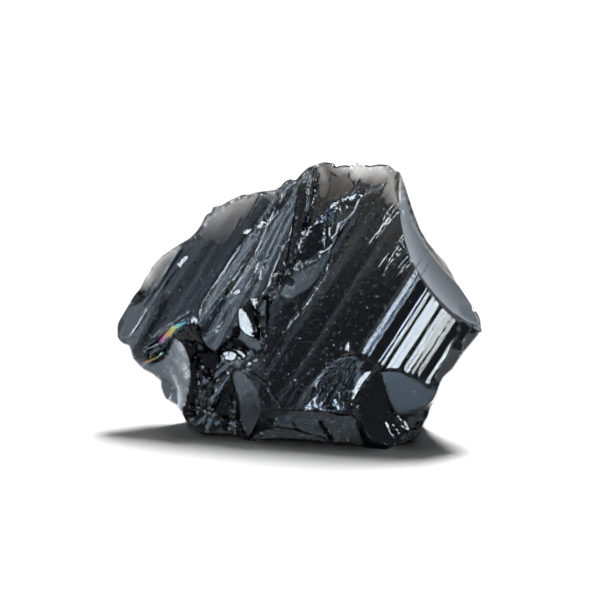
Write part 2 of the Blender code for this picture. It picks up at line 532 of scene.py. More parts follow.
# Fracture facets, laid one over the other: what facet() takes, from the outline on.
FACETS = {
    "scallop": (px(172,338, 181,341, 187,351, 191,362, 192,374, 191,386, 188,398, 184,412, 176,418, 150,414,
        130,385, 124,352, 143,361, 151,358, 163,350), -39.5, 17, 0.8, (0, 1.05), (SCALLOP_CENTRE, 2.6,
        0.035)),
    "scallop_side": (px(180,339, 190,341, 200,358, 202,372, 199,386, 194,400, 186,414, 182,414, 187,400,
        190,386, 191,374, 190,362, 186,351), *DARK, 0.6),
    "scallop_chip": (px(156,379, 166,380, 171,385, 172,392, 168,398, 164,404, 152,392), -30, 22, 1.6, (0,
        3)),
    "dark_pool": (px(200,351, 208,354, 215,352, 224,345, 224,352, 220,362, 212,370, 205,368, 201,362),
        *DARK, 0.6),
    "crack": (px(144,350, 150,345, 156,341, 162,335, 170,329, 178,324, 187,320, 188,322, 182,326, 175,331,
        169,336, 162,342, 155,344, 149,347), *TO_SCREEN, 0.3),
    "crack_low": (px(144,362, 150,358, 157,356, 163,351, 164,353, 158,358, 151,361, 145,364), *TO_SCREEN,
        0.6),
    "crack_shade": (px(148,351, 156,347, 162,346, 160,351, 153,354, 147,356), -24, 22, 0.5),
    "brown_patch": (px(170,338, 178,332, 187,325, 197,326, 203,344, 192,341, 181,340), -10, 24, 0.5, FLAT,
        (spot(150, 350), 1.4, 0.03)),
    "blue_sliver": (px(199,372, 204,376, 209,381, 206,385, 200,384), *TO_SCREEN, 0.4),
    "slate_pentagon": (px(203,389, 211,389, 212,399, 213,409, 207,411, 199,405), -27, 15, 1),
    "slab": (px(238,366, 232,371, 214,391, 210,401, 212,413, 218,402, 228,388, 232,380), -30, 26, 0.6),
    "slab_step": (px(234,372, 216,397, 212,408, 213,409, 218,400, 229,384, 233,377), *DARK, 1.1),
    "pit": (px(231,383, 222,396, 214,412, 222,417, 230,411, 233,404, 235,396, 233,388), *DARK, 1.6),
    "lens": (px(233,370, 240,370, 246,374, 252,382, 256,393, 259,406, 259,420, 254,431, 249,437, 243,428,
        240,416, 239,404, 236,392, 232,380), -31.5, 15, 0.9, (-60, -1.6), None, spot(243, 388), 0.3),
    "lens_foot": (px(236,396, 240,408, 242,422, 248,436, 240,436, 236,424, 236,408), *DARK, 1.1),
    "oval": (px(224,417, 228,417, 229,424, 227,430, 223,429, 222,422), *DARK, 1.8),
    "oval_grey": (px(229,419, 235,418, 237,425, 234,430, 229,429), -31, 14, 1.2),
    "mirror": (px(239,307, 247,313, 252,321, 255,338, 248,335, 241,331, 238,321), *TO_BOX, 0.2),
    "mirror_top": (px(249,299, 259,297, 256,312), *TO_BOX, 0.2),
    "grey_wedge": (px(232,328, 237,326, 241,331, 248,335, 256,340, 263,346, 258,350, 250,348, 241,340,
        235,339), -33, 22, 0.5),
    "wedge_shade": (px(236,341, 241,341, 250,349, 247,352, 240,350, 234,345), *DARK, 1),
    "dark_wedge": (px(247,300, 250,300, 255,311, 259,312, 261,340, 254,337, 252,325, 247,314), *DARK, 0.3),
    "wedge": (px(353,214, 348,222, 342,232, 336,241, 329,251, 328,262, 333,253, 341,243, 348,233, 354,224,
        358,215), -20, 24, 0.15, FLAT, None, None, 0.4),
    "crescent": (px(330,250, 322,258, 314,264, 304,269, 294,273, 288,278, 281,286, 279,293, 285,299,
        296,296, 307,290, 316,281, 324,268, 331,256), -23.5, 26, 0.35, (150, -0.5), None, spot(306, 269),
        0.12),
    "dark_strip": (px(298,186, 309,178, 307,205, 302,232, 295,250, 286,262, 290,245, 295,215), -10, 19, 0.1,
        (0, 0), None, None, 0.3),
    "crescent_step": (px(284,276, 291,275, 295,283, 291,287, 286,283, 282,288, 280,283), *DIM, 0.25),
    "pocket": (px(312,228, 318,220, 328,216, 336,212, 334,222, 330,234, 326,245, 316,254, 303,262, 298,258,
        304,243), *DIM, 0.3, (60, 0.8)),
    "left_shoulder": (px(104,352, 112,325, 124,302, 142,299, 160,296, 154,314, 142,334, 128,356), -31, 23,
        0, FLAT, None, spot(146, 312), 2.2),
    "hackle": (px(350,355, 360,356, 363,364, 360,378, 352,392, 346,406, 343,414, 325,411, 304,410, 309,400,
        317,388, 321,374, 328,364, 338,358), *DIM, 0.4, (30, 1)),
    "rib_glint": (px(345,349, 347,343, 349,342, 350,353, 347,351), 3, 14, 0.1),
    "foot_strip": (px(278,417, 292,411, 310,410, 325,411, 332,414, 343,416, 350,414, 355,420, 359,432,
        364,444, 345,446, 330,446, 318,438, 302,431, 290,428, 276,427, 268,430), -14, 6, 0, (0, 0.2), None,
        spot(345, 420)),
    "foot_low": (px(246,442, 256,434, 266,430, 276,427, 290,428, 302,431, 316,436, 334,442, 340,450,
        246,450), -14, 6, -0.2),
    "foot_mark_a": (px(292,422, 295,424, 300,432, 297,431), *DARK, 0.2),
    "foot_mark_b": (px(318,421, 322,421, 328,430, 334,442, 328,438, 321,428), *DARK, 0.2),
    "right_shard": (px(452,349, 466,352, 459,362, 453,373, 446,378, 438,383, 436,376, 444,360), 40, -4,
        0.5),
    "right_shard_top": (px(468,335, 480,333, 486,331, 474,346, 464,358, 462,346), 42, -5, 0.8),
    "bowl": (px(359,412, 360,400, 364,388, 370,378, 378,371, 400,371, 412,378, 425,386, 440,391, 436,400,
        430,412, 424,425, 418,436, 410,444, 398,446, 380,444, 370,440, 362,428), 26, 14, 0.3, (0, 0.3),
        None, spot(361, 410)),
    "bowl_flat": (px(380,370, 400,370, 412,377, 425,385, 438,391, 434,400, 428,406, 424,410, 412,412,
        404,416, 396,413, 390,404, 386,390), *TO_LOW, 2.6, FLAT, None, spot(388, 392), 0.2),
    "hollow_tip": (px(462,304, 459,314, 468,322, 480,328, 492,333, 490,318, 480,304, 470,298), 56, 45, 0,
        (0, 0), None, spot(464, 314), 1),
}
# Small facets that mirror a light, laid over the others: outline and sink in mm.
GLINTS = {
    TO_BOX: [
        (px(223,353, 227,349, 233,347, 240,349, 247,356, 244,360, 238,359, 233,360, 228,361, 224,357), 0.5),
        (px(199,363, 202,364, 206,370, 210,374, 211,377, 206,374, 202,369), 0.4),
        (px(212,384, 217,378, 218,379, 213,385), 0.4),
        (px(190,319, 195,317, 199,321, 195,325, 191,323), 0.1),
        (px(242,234, 245,230, 252,228, 251,233, 246,236), 0.1),
        (px(177,265, 181,259, 186,255, 189,257, 184,263, 180,267), 0.1),
        (px(202,251, 204,247, 206,247, 204,252), 0.1),
        (px(261,221, 266,219, 263,226, 259,231, 257,228), 0.1),
        (px(233,293, 236,289, 240,289, 241,292, 237,295), 0.1),
        (px(321,229, 324,228, 326,237, 324,238), 0.45),
        (px(340,221, 342,220, 340,227, 335,236, 331,242, 333,235), 0.4),
        (px(345,206, 348,205, 349,208, 346,209), 0.3),
        (px(353,193, 357,191, 358,195, 355,197), 0.1),
        (px(371,370, 364,373, 358,380, 354,389, 351,400, 354,399, 358,391, 363,383, 369,376, 372,371), 0.3),
        (px(331,403, 334,399, 339,395, 338,402, 335,409, 333,409, 332,406), 0.3),
        (px(384,422, 387,422, 394,434, 391,434), 2.2),
        (px(391,422, 394,424, 401,434, 398,435, 394,429), 2.2),
        (px(400,425, 403,425, 408,433, 405,433), 2.2),
        (px(396,415, 399,415, 403,422, 401,423), 2.2),
    ],
    TO_WARM: [
        (px(255,313, 256,313, 258,338, 257,338), 0.3),
        (px(327,227, 331,225, 331,236, 328,237), 0.45),
        (px(339,208, 341,207, 341,212, 339,213), 0.4),
        (px(351,402, 353,401, 352,408, 350,407), 0.5),
        (px(326,396, 328,396, 325,403, 323,409, 322,408, 323,402), 0.3),
    ],
    TO_BLUE: [
        (px(193,405, 198,405, 203,408, 198,411), 0.6),
        (px(342,219, 345,219, 342,230, 337,239, 340,228), 0.35),
        (px(312,401, 315,397, 317,400, 315,409, 312,408), 0.3),
        (px(328,408, 330,402, 331,408), 0.3),
        (px(387,429, 390,430, 396,438, 393,438), 2.2),
        (px(404,421, 408,423, 410,432, 406,432), 2.2),
    ],
}

# Narrow strips that mirror a light, all along the striae: line, half width in mm, lean in degrees.
BLADES = {
    "pale_crack_a": (px(368,245, 375,236, 383,226, 392,213, 401,200), 0.42, 2.5),
    "pale_crack_b": (px(375,240, 383,230, 392,219, 402,207), 0.3, 2.5),
    "pale_crack_c": (px(380,224, 388,212, 395,202), 0.3, 3),
    "streak_bright": (px(223,299, 228,289, 233,279), 0.42, 7),
    "fan_line_a": (px(258,282, 262,270, 267,256), 0.3, 7),
    "fan_line_b": (px(250,287, 255,273, 261,258), 0.28, 6),
    "fan_line_c": (px(214,338, 223,318, 232,302), 0.28, 5.5),
    "crack_foot": (px(281,335, 291,323, 302,310), 0.28, 3),
    "crack_mid": (px(302,310, 310,300, 318,287), 0.3, 3),
    "crack_bright": (px(314,294, 318,287, 320,284), 0.42, 2.5),
    "crack_high": (px(318,288, 324,276, 328,265, 330,254), 0.28, 3),
    "crack_spot": (px(321,283, 324,276, 326,271), 0.36, 2.5),
    "hair_a": (px(386,264, 398,247, 409,231), 0.29, 2.5),
    "hair_b": (px(383,272, 395,256, 405,242, 411,233), 0.29, 2.5),
    "hair_c": (px(393,262, 403,249, 413,237), 0.29, 2.5),
    "hair_d": (px(398,268, 408,256, 417,244), 0.29, 2.5),
    "hair_e": (px(396,278, 408,262, 418,249), 0.29, 2.5),
    "hair_f": (px(404,271, 412,261, 420,252), 0.29, 2.5),
    "hair_g": (px(389,254, 397,243, 405,233), 0.29, 3),
    "hair_h": (px(378,268, 388,254, 396,244), 0.29, 3.5),
    "hair_i": (px(402,262, 410,251, 417,243), 0.29, 2.5),
}

# Rows of chips: what chip_row() takes, from the line on.
CHIP_ROWS = {
    "crest": (px(315,224, 320,218, 327,210, 334,204, 345,200, 354,197, 362,194), 0.5, 2.4, -4.2, 13.5, 1.6,
        201, 0.1),
    "crest_low": (px(320,222, 327,215, 336,209), 0.55, 1.3, -6.5, 14, 3, 205, 0.2),
    "crest_bright": (px(357,196, 362,195), 0.4, 1.2, 0, 13.5, 2, 207, 0.1),
    "ridge_high": (px(312,206, 314,196, 315,187), 0.38, 2.2, -5, 13.5, 1.5, 209, 0),
    "ridge": (px(294,260, 297,252, 301,240, 305,228, 310,212), 0.45, 2, -5, 13.5, 2, 213, 0.1),
    "pocket_edge": (px(319,256, 324,248, 325,238), 0.3, 1.6, -5, 14, 3, 221, 0.3),
}

# Raised lines and sunken grooves: line, half width and height in mm.
CREASES = {
    "groove": (px(284,186, 270,216, 258,244, 240,276, 222,302), 0.6, -0.4),
    "patch_line_a": (px(224,350, 234,351, 243,358), 0.35, -0.3),
    "patch_line_b": (px(232,346, 241,350, 248,356), 0.35, -0.3),
    "streak_a": (px(186,242, 174,259, 158,284, 140,311), 0.5, 0.09),
    "streak_b": (px(176,268, 160,291, 148,310), 0.4, 0.06),
    "streak_c": (px(232,224, 214,251, 200,273), 0.5, 0.05),
    "streak_d": (px(150,306, 140,322, 128,340), 0.5, 0.12),
    "hackle_a": (px(351,354, 340,364, 328,377, 316,392, 306,406), 0.5, 0.12),
    "hackle_b": (px(352,357, 343,370, 332,384, 322,398, 314,408), 0.45, 0.12),
    "hackle_c": (px(354,360, 347,375, 338,390, 330,403), 0.45, 0.12),
    "hackle_d": (px(357,364, 351,380, 345,394, 340,408), 0.5, 0.1),
    "hackle_e": (px(345,356, 331,366, 320,378, 310,390), 0.4, 0.09),
    "lens_edge": (px(245,370, 256,376, 268,385, 270,392, 280,405, 284,413), 0.5, 0.2),
    "blue_curl": (px(231,384, 234,388, 236,395, 234,403, 231,409), 0.45, 0.35),
    "ring": (px(219,418, 224,415, 230,413, 235,416, 235,422), 0.5, 0.35),
    "white_streak": (px(200,364, 206,371, 213,378), 0.5, 0.35),
    "left_ridge": (px(150,341, 163,331, 178,320, 192,311), 0.5, 0.2),
}

LEDGE_FIELD = px(
    384,185, 372,188, 360,195, 345,199, 335,206, 322,215, 312,227, 304,243, 296,254, 284,272, 279,284,
    286,282, 292,272, 304,266, 318,258, 330,247, 338,235, 347,220, 354,212, 359,199, 372,191,
)
ROUGH_CORNER = px(
    296,254, 300,262, 294,271, 286,276, 279,286, 276,298, 262,314, 254,320, 250,312, 262,298, 272,284,
    284,266,
)
DUSTY = px(
    300,180, 318,200, 330,260, 350,300, 350,400, 250,410, 215,380, 200,340, 215,300, 262,290, 285,240,
)
HACKLE_APEX = spot(354, 348)
HACKLE_FIELD = px(
    352,352, 358,357, 360,366, 354,384, 347,400, 344,412, 325,412, 297,411, 300,400, 316,380, 335,362,
)
BOWL_CHIPS = px(408,412, 418,410, 428,406, 436,402, 432,412, 424,428, 414,444, 402,446, 400,438, 410,430)
FOOT_RIM = px(344,432, 356,440, 372,445, 398,448, 412,440, 420,446, 400,456, 350,452, 338,446)
CHAOS_FIELD = px(
    190,326, 199,326, 204,346, 215,353, 233,337, 238,326, 246,302, 258,297, 268,300, 266,345, 262,362,
    244,372, 236,396, 238,436, 200,434, 184,420, 192,372, 192,345,
)
RIGHT_CHIP_FIELD = px(
    462,321, 486,331, 478,338, 466,354, 454,372, 442,386, 434,389, 430,386, 438,372, 446,359, 453,345,
    459,331,
)
RIGHT_BASE = px(
    461,320, 488,331, 480,340, 468,356, 456,374, 444,390, 432,390, 429,386, 437,372, 445,359, 452,345,
    458,331,
)
LEFT_FACE = px(
    100,340, 120,290, 150,235, 200,180, 285,160, 284,190, 262,215, 240,245, 205,297, 183,312, 150,345,
    110,352,
)

# The ground under the facets and the chips over their rims: a function, and what it takes from the
# outline on.
GROUND = [
    (chip_field, LEDGE_FIELD, 0.25, 1.5, 0.16, 61, 50, 1.5),
    (chip_field, ROUGH_CORNER, 0.8, 0.75, 0.42, 63, 57, 1.6),
    (facet, CHAOS_FIELD, -25, 15, 0.3, FLAT, None, None, 0.5),
    (chip_field, CHAOS_FIELD, 0.5, 3.6, 1.1, 71, 40, 1.5),
    (chip_field, CHAOS_FIELD, 0.5, 1.5, 0.35, 72, 60, 1.4),
    (facet, RIGHT_BASE, 22, 16, 0, FLAT, None, spot(447, 352)),
    (chip_field, RIGHT_CHIP_FIELD, 0.4, 1.6, 0.5, 75, 57, 1.5),
]
RIMS = [(chip_field, BOWL_CHIPS, 0.3, 1.5, 0.7, 76), (chip_field, FOOT_RIM, 0.3, 1.4, 0.4, 77)]

# Striae: height in mm, spacing, length and seed. Flutes: the same, and what chips() takes after the seed.
UPPER_STRIAE = [(0.05, 3, 60, 21), (0.014, 1.1, 35, 22), (0.007, 0.6, 22, 23)]
LONG_STRIAE = [(0.12, 5, 40, 24)]
BACK_STRIAE = [(0.10, 3.5, 30, 41), (0.03, 1.2, 14, 42)]
LEFT_FLUTES = [(0.30, 2.3, 60, 25, 0.45, 0.35, 0.15), (0.07, 0.8, 26, 26, 0.5, 0.4, 0.15)]
FAN_FLUTES = [(0.30, 1.5, 22, 33, 0.35, 0.5, 0.2), (0.10, 0.55, 12, 34, 0.3, 0.5, 0.2)]


def fan_depth(u, v, depth):
    """The ridged band that fans out from the top."""
    edges = np.arange(94, 136, FAN_STEP)
    starts, leans = np.array(FAN_LEANS).T
    lean = leans[np.maximum(np.searchsorted(starts, edges, side="right") - 1, 0)]
    # the leans add up to heights across the fan, for each millimetre of reach
    height = np.cumsum(lean) * math.radians(FAN_STEP)
    height = height - np.interp(edges, [edges[0], edges[-1]], [height[0], height[-1]])

    def change(u, v, old):
        share = mask_of(u, v, FAN_FIELD, 0.5)
        reach, angle = around(u, v, FAN_APEX)
        angle = np.degrees(angle)
        angle = angle + 0.3 * noise(reach / 9, angle / 4, 31)
        face = plane_depth(u, v, point_at(FAN_MIDDLE), *FAN_FACE)
        profile = np.interp(angle, edges, height) * reach
        return old + share * (face - old + profile + flutes(angle, reach, FAN_FLUTES) - 0.15)

    return changed(depth, u, v, FAN_FIELD, 0.5, change)


def hackle_depth(u, v, depth):
    """The hackles that curl out from the bowl's upper left corner."""
    def change(u, v, old):
        share = mask_of(u, v, HACKLE_FIELD, 0.6)
        reach, angle = around(u, v, HACKLE_APEX)
        angle = np.degrees(angle) + 1.3 * reach
        coarse = chips(angle / 7, reach / 14, 51, 0.3, 0.6) * (0.02 + 0.014 * reach)
        fine = 0.02 * chips(angle / 3.5, reach / 8, 52, 0.3, 0.6)
        return old + share * (coarse + fine - 0.1)

    return changed(depth, u, v, HACKLE_FIELD, 0.6, change)


CALM = 0.95  # how much of its unevenness the striped band lacks
CALM_FADE = 0.6  # mm over which the unevenness fades out before the band
STRIAE_FROM = (-27, -22)  # the v between which the upper striae set in
LEDGE_SINK = 0.15
# Small chips along the edges above some v: depth and size in mm, and how far in from the outline.
NIBBLE_DEPTH = 0.7
NIBBLE_SIZE = 1.2
NIBBLE_REACH = 1.6
NIBBLE_FROM = (9, 12)
DUST_FROM = -24  # no dust lies lower than this v


def front_depth(u, v):
    """Depth of the front sheet: the base, and all that lies on it from the coarse to the fine."""
    s, t = across(u, v, STRIPE_ORIGIN, STRIPE_SLANT)
    calm = 1 - CALM * smooth(BAND_LEFT - CALM_FADE, BAND_LEFT, s) * (1 - mask_of(u, v, SHOULDER, 0.5))
    depth = base_depth(u, v) + waves(s, t, UPPER_STRIAE) * smooth(*STRIAE_FROM, v) * calm
    depth = depth + mask_of(u, v, LEFT_FACE, 1) * (flutes(s, t, LEFT_FLUTES) - 0.1)
    depth = depth + waves(s, t, LONG_STRIAE) * calm
    depth = fan_depth(u, v, depth)
    depth = depth + LEDGE_SINK * mask_of(u, v, LEDGE_FIELD, 0.25)
    for shape, *numbers in GROUND:
        depth = shape(depth, u, v, *numbers)
    for numbers in FACETS.values():
        depth = facet(depth, u, v, *numbers)
    for face, glints in GLINTS.items():
        for outline, sink in glints:
            depth = facet(depth, u, v, outline, *face, sink)
    depth = hackle_depth(u, v, depth)
    for shape, *numbers in RIMS:
        depth = shape(depth, u, v, *numbers)
    for shape, rows in ((crease, CREASES), (blade, BLADES), (chip_row, CHIP_ROWS)):
        for numbers in rows.values():
            depth = shape(depth, u, v, *numbers)
    nibble = smooth(NIBBLE_REACH, 0.3, -outline_distance(u, v, OUTLINE)) * smooth(*NIBBLE_FROM, v)
    depth = depth + NIBBLE_DEPTH * nibble * chips(u / NIBBLE_SIZE, v / NIBBLE_SIZE, 81, 0.8, 0.9)
    depth = depth - (specks(u, v, 1.7, 0.5, 0.07, 91) + specks(u + 3.3, v + 1.7, 1.1, 0.3, 0.05, 95)) * calm
    crumbs = dust(u, v, 2.3, 0.2, 0.24, 96)
    crumbs = crumbs + dust(u + 5.1, v + 2.3, 1.2, 0.22, 0.2, 99) * (mask_of(u, v, DUSTY, 2) > 0.5)
    return depth + crumbs * calm * (v > DUST_FROM)


def back_depth(u, v, depth):
    """The back sheet's depth, from that of the planes behind."""
    for number, scar in enumerate(BACK_SCARS.values()):
        depth = scoop_back(depth, u, v, scar, 0.06, 2.6 + 0.4 * number)
    return depth - waves(*across(u, v, (0, 0), 118), BACK_STRIAE)


# ---- both sheets ----
# How blunt the outline is, in mm, at each angle around AIM: the thin stretches let light through.
BLUNTNESS = [
    (-180, 3.5), (-8, 3), (0, 2.2), (8, 1.6), (13, 0.9), (18, 1.4), (24, 2), (34, 4), (46, 3.5), (52, 1.6),
    (58, 0.5), (66, 0.1), (72, 0.4), (80, 1.6), (90, 3), (100, 2), (105, 0.7), (112, 2.2), (118, 1.2),
    (126, 1.4), (134, 2.2), (142, 4), (155, 4), (164, 2), (171, 0.9), (175, 2.5), (180, 3.5),
]
# How thick the stone is at least, in mm, at each distance in from its outline.
WEDGE = [(0, 0.05), (2, 1.2), (5, 4), (12, 14), (30, 30)]

# Where the stone is thin enough to see through: an outline at whose border it is dark, the line along
# which it is thinnest, the thickness at that line's two ends and the width of the thick rim, in mm.
WINDOWS = [
    (px(376,150, 420,150, 406,176, 402,184, 405,198, 408,214, 402,219, 390,214, 380,206, 374,198, 366,190,
        376,172), px(388,174, 393,184, 397,200), 1.05, 1.2, 0.25),
    (px(340,150, 420,150, 406,170, 398,184, 388,192, 376,194, 364,192, 352,188, 344,180), px(357,168,
        368,167, 378,168, 388,174), 0.38, 0.75, 0.4),
    (px(320,150, 362,150, 364,186, 352,196, 338,202, 326,200), px(338,172, 352,170), 2.2, 1.2, 0.5),
    (px(304,158, 336,150, 334,190, 330,204, 318,202, 312,176), px(312,168, 320,168, 324,178), 1.1, 1.5,
        0.3),
    (px(194,214, 200,190, 240,170, 276,180, 270,194, 256,214, 246,226, 234,240, 220,246, 206,242, 196,236),
        px(206,219, 216,215, 226,209, 238,201, 252,197), 1.5, 1.05, 0.8),
    (px(138,294, 130,270, 150,240, 178,230, 190,242, 184,254, 176,266, 168,278, 160,290, 148,298),
        px(148,277, 151,269, 158,261, 168,254, 180,246), 0.75, 0.95, 0.2),
]
WINDOW_DARK = 3.8
WINDOW_RIM = 2.4
WINDOW_STREAKS = [(0.13, 1.5, 22, 65), (0.07, 0.6, 12, 66)]
NOWHERE = 99.0


def window_back(u, v, front, back):
    """Brings the back sheet up behind the front one, where the stone is a thin wedge."""
    streaks = waves(*across(u, v, (0, 0), 62), WINDOW_STREAKS) + 0.05 * noise(u / 1.5, v / 1.5, 67)
    rim = -outline_distance(u, v, OUTLINE)
    thinnest = np.full(u.shape, NOWHERE)
    for outline, line, thin, thin_end, rim_width in WINDOWS:
        near = near_box(u, v, outline, 0)
        un, vn = u[near], v[near]
        inside = np.maximum(-outline_distance(un, vn, outline), 0)
        gap, along, _ = line_distance(un, vn, line)
        least = thin * (thin_end / thin) ** along
        way = gap / (gap + inside + 0.001)
        way = np.clip(way + streaks[near] * np.minimum(inside, 1) * smooth(0, 0.3, way), 0, 1)
        thickness = least * (WINDOW_DARK / least) ** way
        chip = hashed(np.floor(un / 0.9 + 0.4 * noise(vn, un, 68)), np.floor(vn / 0.7), 69)
        edge = rim_width * (0.5 + 0.9 * chip)
        thickness = thickness + smooth(edge, edge * 0.6, rim[near]) * np.maximum(WINDOW_RIM - thickness, 0)
        thinnest[near] = np.minimum(thinnest[near], np.where(inside > 0, thickness, NOWHERE))
    return np.minimum(front + thinnest, back)


STEEPEST = 0.8  # mm that the planes behind may come before the front, where they are seen edge-on
SPLIT = 0.03  # mm from the middle of the wedge to the front sheet, at the outline
SPLIT_GROWTH = 0.3  # and how much more in each mm from there
SPLIT_REACH = 4
THINNEST = 0.12


def both_sheets(u, v):
    """Front and back depth, kept a wedge apart from each other behind the outline."""
    front = front_depth(u, v)
    # behind the right tip the planes would leave slivers: the back stays close to the front
    back = np.maximum(back_depth(u, v, plane_sheets(u, v)[1]), front - STEEPEST)
    inward = np.maximum(-outline_distance(u, v, OUTLINE), 0)
    blunt = np.interp(np.degrees(np.arctan2(v, u)), *zip(*BLUNTNESS)) * smooth(0, 0.5, inward)
    least = blunt + np.interp(inward, *zip(*WEDGE))
    split = np.minimum(inward, SPLIT_REACH)
    front = np.minimum(front, (front + back) / 2 - SPLIT - SPLIT_GROWTH * split)
    back = window_back(u, v, front, np.maximum(back, front + least))
    return front, np.maximum(back, front + THINNEST)


# ---- the mesh ----
GRID = 0.29  # mm between the corners of the grid
us = np.arange(-43.8, 43.8, GRID)
vs = np.arange(-36.2, 33, GRID)
U, V = np.meshgrid(us, vs)
SHARP_FROM = 16  # degrees between two triangles
BOX_MARGIN = 0.00002  # metres inside the CAD box


def corners_of(grid):
    """The values at the four corners of every cell."""
    return grid[:-1, :-1], grid[:-1, 1:], grid[1:, :-1], grid[1:, 1:]


def tidy_inside(inside):
    """Drops grid corners until every pair of neighbours has a whole cell beside it."""
    while True:
        a, b, c, d = corners_of(inside)
        padded = np.pad(a & b & c & d, 1)
        drop = np.zeros_like(inside)
        # pairs side by side and pairs one above the other, with no whole cell along them
        drop[:, :-1] |= inside[:, :-1] & inside[:, 1:] & ~(padded[:-1, 1:-1] | padded[1:, 1:-1])
        drop[:-1, :] |= inside[:-1, :] & inside[1:, :] & ~(padded[1:-1, :-1] | padded[1:-1, 1:])
        # corners that touch only across a cell's diagonal
        cross = (a & d & ~b & ~c) | (b & c & ~a & ~d)
        drop[:-1, :-1] |= cross & a
        drop[:-1, 1:] |= cross & b
        # corners with no whole cell at all
        drop |= inside & ~np.logical_or.reduce(corners_of(padded))
        if not drop.any():
            return inside
        inside = inside & ~drop


def slopes(u, v):
    """Depth and slopes along u and v, of the front sheet and of the back sheet."""
    nudge = 0.02
    here, right, above = both_sheets(u, v), both_sheets(u + nudge, v), both_sheets(u, v + nudge)
    return [(w, (wu - w) / nudge, (wv - w) / nudge) for w, wu, wv in zip(here, right, above)]


def settle(cells_u, cells_v, sample, corners):
    """For each cell, the spot where its corners' tangent planes meet best."""
    value, slope_u, slope_v = sample
    rows = []
    right = []
    for iu, iv in corners:
        gu, gv = slope_u[iv, iu], slope_v[iv, iu]
        size = 1 / np.sqrt(1 + gu * gu + gv * gv)
        rows.append(np.stack([-gu * size, -gv * size, size], -1))
        right.append((value[iv, iu] - gu * (U[iv, iu] - cells_u) - gv * (V[iv, iu] - cells_v)) * size)
    a = np.stack(rows, 1)
    mean = np.mean([value[iv, iu] for iu, iv in corners], axis=0)
    b = np.stack(right, 1) - a[:, :, 2] * mean[:, None]
    normal = np.einsum("nij,nik->njk", a, a) + 0.0015 * np.eye(3)
    offset = np.linalg.solve(normal, np.einsum("nij,ni->nj", a, b)[..., None])[..., 0]
    limit = 0.48 * GRID
    return cells_u + np.clip(offset[:, 0], -limit, limit), cells_v + np.clip(offset[:, 1], -limit, limit)


def onto_outline(u, v):
    """Moves points onto the outline, but hardly past their own cells."""
    nudge = 0.01
    limit = 0.75 * GRID
    new_u, new_v = u, v
    for _ in range(2):
        d = outline_distance(new_u, new_v, OUTLINE)
        gu = (outline_distance(new_u + nudge, new_v, OUTLINE) - d) / nudge
        gv = (outline_distance(new_u, new_v + nudge, OUTLINE) - d) / nudge
        new_u, new_v = new_u - d * gu, new_v - d * gv
    return np.clip(new_u, u - limit, u + limit), np.clip(new_v, v - limit, v + limit)


def sheet_faces(ids, level, w, inside):
    """Two triangles around each inside corner, split along the diagonal that lies closer to the sheet."""
    cv, cu = np.nonzero(inside)
    a, b, c, d = ids[cv - 1, cu - 1], ids[cv - 1, cu], ids[cv, cu], ids[cv, cu - 1]
    miss_ac = np.abs((w[a] + w[c]) / 2 - level[cv, cu])
    miss_bd = np.abs((w[b] + w[d]) / 2 - level[cv, cu])
    first = (miss_ac < miss_bd)[:, None]
    one = np.where(first, np.stack([a, b, c], 1), np.stack([a, b, d], 1))
    two = np.where(first, np.stack([a, c, d], 1), np.stack([b, c, d], 1))
    return np.concatenate([one, two])


def stone_shape():
    """The stone's points in (u, v, w), its triangles, and 1 for each point of the front or the rim."""
    inside = tidy_inside(outline_distance(U, V, OUTLINE) < 0)
    count = sum(corner.astype(int) for corner in corners_of(inside))
    near = np.zeros_like(inside)
    for corner in corners_of(near):
        corner |= count > 0
    sheets = slopes(U[near], V[near])
    samples = np.zeros((2, 3) + inside.shape)
    for sheet in range(2):
        for k in range(3):
            samples[sheet][k][near] = sheets[sheet][k]
    whole = count == 4
    iv, iu = np.nonzero(whole)
    corners = [(iu, iv), (iu + 1, iv), (iu, iv + 1), (iu + 1, iv + 1)]
    middles = us[iu] + GRID / 2, vs[iv] + GRID / 2
    front, back = [settle(*middles, sample, corners) for sample in samples]
    # the rim: one point to a cell that the outline cuts, shared by both sheets
    cut = (count > 0) & ~whole
    rv, ru = np.nonzero(cut)
    rim = onto_outline(us[ru] + GRID / 2, vs[rv] + GRID / 2)
    u, v = [np.concatenate(parts) for parts in zip(front, back, rim)]
    w = np.concatenate([both_sheets(*front)[0], both_sheets(*back)[1], sum(both_sheets(*rim)) / 2])
    faces = []
    for sheet in range(2):
        ids = np.full(count.shape, -1)
        ids[whole] = sheet * len(iu) + np.arange(len(iu))
        ids[cut] = 2 * len(iu) + np.arange(len(ru))
        faces.append(sheet_faces(ids, samples[sheet][0], w, inside))
    front_share = np.concatenate([np.ones(len(iu)), np.zeros(len(iu)), np.ones(len(ru))])
    return u, v, w, np.concatenate([faces[0], faces[1][:, ::-1]]), front_share


def stone_mesh():
    """The stone's mesh, kept inside the CAD box, with its looks painted on."""
    u, v, w, faces, front_share = stone_shape()
    low, high = np.array(cad_box)
    points = np.clip(in_space(u, v, w) * MM, low + [BOX_MARGIN, BOX_MARGIN, 0], high - BOX_MARGIN)
    mesh = bpy.data.meshes.new(NAME)
    mesh.from_pydata(points, [], faces)
    mesh.polygons.foreach_set("use_smooth", np.ones(len(faces), bool))
    mesh.validate()
    mesh.set_sharp_from_angle(angle=math.radians(SHARP_FROM))
    looks = looks_of(u, v)
    looks["film"] = looks["film"] * front_share
    looks["rough"] = GLOSS + (looks["rough"] - GLOSS) * front_share
    looks["grain"] = looks["grain"] * front_share
    for name, values in looks.items():
        attribute = mesh.attributes.new(name, "FLOAT", "POINT")
        attribute.data.foreach_set("value", values.astype(np.float32))
    return mesh


